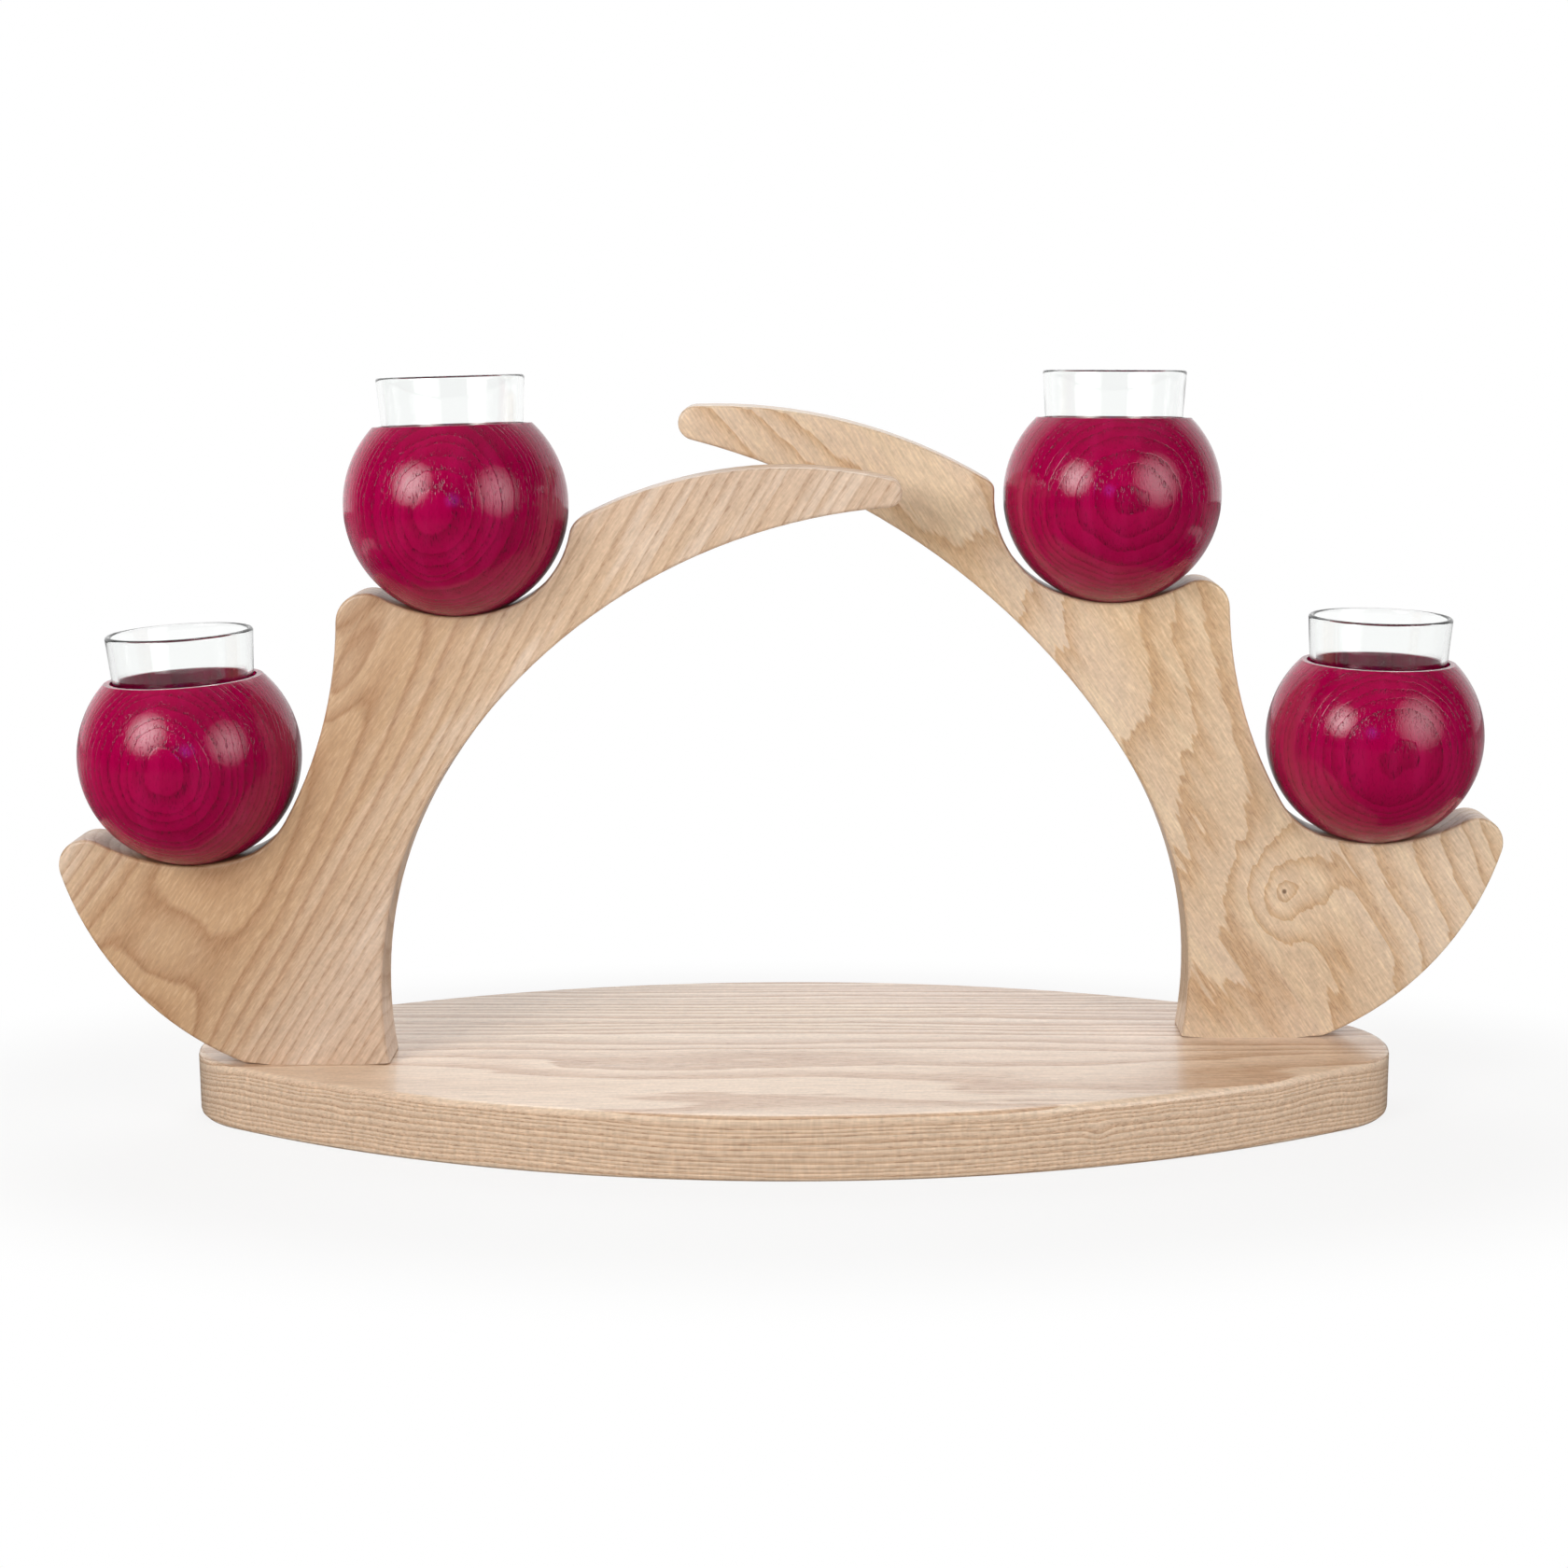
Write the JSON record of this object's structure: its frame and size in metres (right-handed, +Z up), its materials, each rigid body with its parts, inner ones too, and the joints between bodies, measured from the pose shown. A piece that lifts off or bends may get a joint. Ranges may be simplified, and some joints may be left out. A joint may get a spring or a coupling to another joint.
{
  "type": "advent candle holder",
  "caption": "Wooden advent candle holder: interlaced arches on a boat-shaped base carry turned, stained balls with lift-out tea-light glasses.",
  "frame": {"origin": "middle of the underside of the base plate, on the surface that the holder stands on", "axes": "+X to the right along the length of the base, +Y to the back, +Z up; the left arch stands in front, at -Y"},
  "size_m": [0.4978, 0.1694, 0.2572],
  "materials": {
    "base_ash": "matt clear lacquer on pale ash",
    "arch_ash": "matt clear lacquer on warm ash",
    "stained_ash": "crimson stain under satin lacquer",
    "clear_glass": "clear",
    "dowel_wood": "raw beech",
    "screw_steel": "zinc plated"
  },
  "bodies": {
    "holder": {"base_plate": "base_ash", "front_arch": "arch_ash", "rear_arch": "arch_ash", "ball_lower_left": "stained_ash", "ball_upper_left": "stained_ash", "ball_upper_right": "stained_ash", "ball_lower_right": "stained_ash", "dowel_lower_left": "dowel_wood", "dowel_upper_left": "dowel_wood", "dowel_upper_right": "dowel_wood", "dowel_lower_right": "dowel_wood", "front_foot_screws": "screw_steel", "rear_foot_screws": "screw_steel"},
    "lower_left_glass": {"glass_lower_left": "clear_glass"},
    "upper_left_glass": {"glass_upper_left": "clear_glass"},
    "upper_right_glass": {"glass_upper_right": "clear_glass"},
    "lower_right_glass": {"glass_lower_right": "clear_glass"}
  },
  "joints": [
    {"name": "lower_left_lift", "type": "slide", "parent": "holder", "child": "lower_left_glass", "axis": [-0.0436, 0, 0.999], "range_m": [0, 0.03]},
    {"name": "upper_left_lift", "type": "slide", "parent": "holder", "child": "upper_left_glass", "axis": [-0.0262, 0.0314, 0.9992], "range_m": [0, 0.03]},
    {"name": "upper_right_lift", "type": "slide", "parent": "holder", "child": "upper_right_glass", "axis": [0.0087, 0.0314, 0.9995], "range_m": [0, 0.03]},
    {"name": "lower_right_lift", "type": "slide", "parent": "holder", "child": "lower_right_glass", "axis": [0.0175, 0, 0.9998], "range_m": [0, 0.03]}
  ]
}
